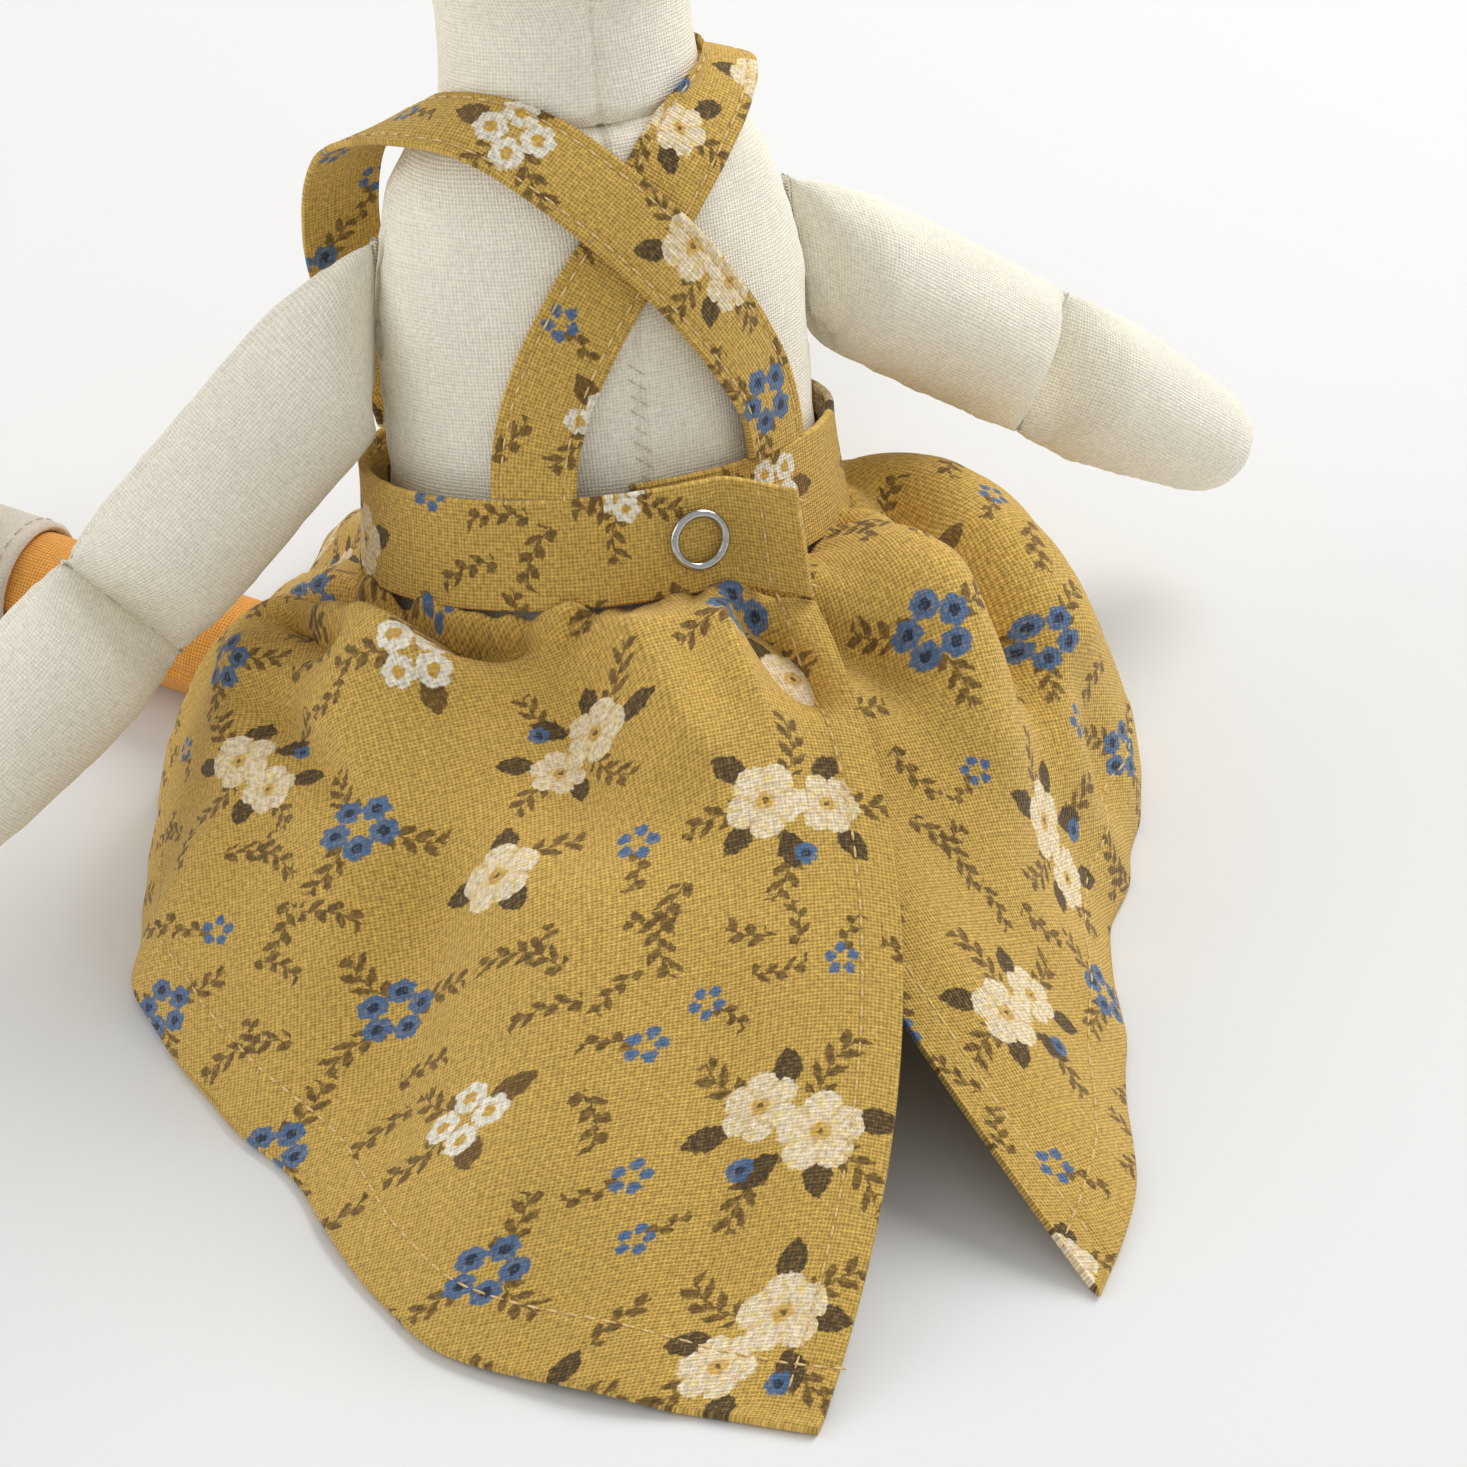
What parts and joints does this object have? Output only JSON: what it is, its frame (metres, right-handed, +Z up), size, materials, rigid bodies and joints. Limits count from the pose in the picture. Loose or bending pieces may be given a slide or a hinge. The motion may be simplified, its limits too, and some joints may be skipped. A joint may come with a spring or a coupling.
{
  "type": "cloth duck doll",
  "caption": "Seated stuffed cloth duck with sewn swinging limbs, felt boots and a gathered wrap-back skirt on crossed straps, closed by a ring snap.",
  "frame": {"origin": "on the flat seat, straight below the middle of the waist", "axes": "+Z up out of the seat, -Y the way the duck faces, +X to the duck's left"},
  "size_m": [0.238, 0.2774, 0.1879],
  "materials": {
    "linen": "ivory plain-weave linen",
    "filling": "white fibre filling",
    "leg_linen": "orange plain-weave linen",
    "printed_linen": "mustard linen with a scattered small flower print",
    "felt": "taupe felt",
    "sole_felt": "cream felt",
    "snap_steel": "polished plated steel",
    "eye": "glossy black"
  },
  "bodies": {
    "body": {"torso_front": "linen", "torso_back_left": "linen", "torso_back_right": "linen", "torso_stuffing": "filling", "head_left": "linen", "head_right": "linen", "head_stuffing": "filling", "beak_upper": "leg_linen", "beak_lower": "leg_linen", "left_eye": "eye", "right_eye": "eye", "waistband": "printed_linen", "left_strap": "printed_linen", "right_strap": "printed_linen", "skirt_back_left": "printed_linen", "skirt_front": "printed_linen", "skirt_back_right": "printed_linen", "snap_back_ring": "snap_steel", "snap_stud": "snap_steel"},
    "left_upper_arm": {"left_upper_arm_front": "linen", "left_upper_arm_back": "linen", "left_upper_arm_stuffing": "filling"},
    "left_forearm": {"left_forearm_front": "linen", "left_forearm_back": "linen", "left_forearm_stuffing": "filling"},
    "left_leg": {"left_leg_under": "leg_linen", "left_leg_top": "leg_linen", "left_leg_stuffing": "filling", "left_boot": "felt", "left_boot_sole": "sole_felt"},
    "right_upper_arm": {"right_upper_arm_front": "linen", "right_upper_arm_back": "linen", "right_upper_arm_stuffing": "filling"},
    "right_forearm": {"right_forearm_front": "linen", "right_forearm_back": "linen", "right_forearm_stuffing": "filling"},
    "right_leg": {"right_leg_under": "leg_linen", "right_leg_top": "leg_linen", "right_leg_stuffing": "filling", "right_boot": "felt", "right_boot_sole": "sole_felt"},
    "waistband_tab": {"waistband_tab": "printed_linen", "snap_socket": "snap_steel", "snap_ring": "snap_steel"}
  },
  "joints": [
    {"name": "left_shoulder", "type": "hinge", "parent": "body", "child": "left_upper_arm", "pos_m": [0.03311, -0.0083, 0.08887], "axis": [0.1017, 0.2575, -0.9609], "range_deg": [-25, 25]},
    {"name": "left_elbow", "type": "hinge", "parent": "left_upper_arm", "child": "left_forearm", "pos_m": [0.0765, 0.00475, 0.05347], "axis": [-0.6533, 0.1339, -0.7452], "range_deg": [-30, 45]},
    {"name": "right_shoulder", "type": "hinge", "parent": "body", "child": "right_upper_arm", "pos_m": [-0.03313, -0.00816, 0.08891], "axis": [0.1017, -0.2575, 0.9609], "range_deg": [-45, 5]},
    {"name": "right_elbow", "type": "hinge", "parent": "right_upper_arm", "child": "right_forearm", "pos_m": [-0.07762, -0.01764, 0.05369], "axis": [-0.4907, -0.462, 0.7388], "range_deg": [-30, 45]},
    {"name": "left_hip", "type": "hinge", "parent": "body", "child": "left_leg", "pos_m": [0.0287, -0.01027, 0.0024], "axis": [-0.7071, -0.7071, 0], "range_deg": [-80, 0]},
    {"name": "right_hip", "type": "hinge", "parent": "body", "child": "right_leg", "pos_m": [-0.02907, -0.01339, 0.0024], "axis": [-0.9816, 0.1908, 0], "range_deg": [-80, 0]},
    {"name": "snap_tab", "type": "hinge", "parent": "body", "child": "waistband_tab", "pos_m": [0.00767, 0.02971, 0.06596], "axis": [0.0107, 0.2838, -0.9588], "range_deg": [0, 60]}
  ]
}
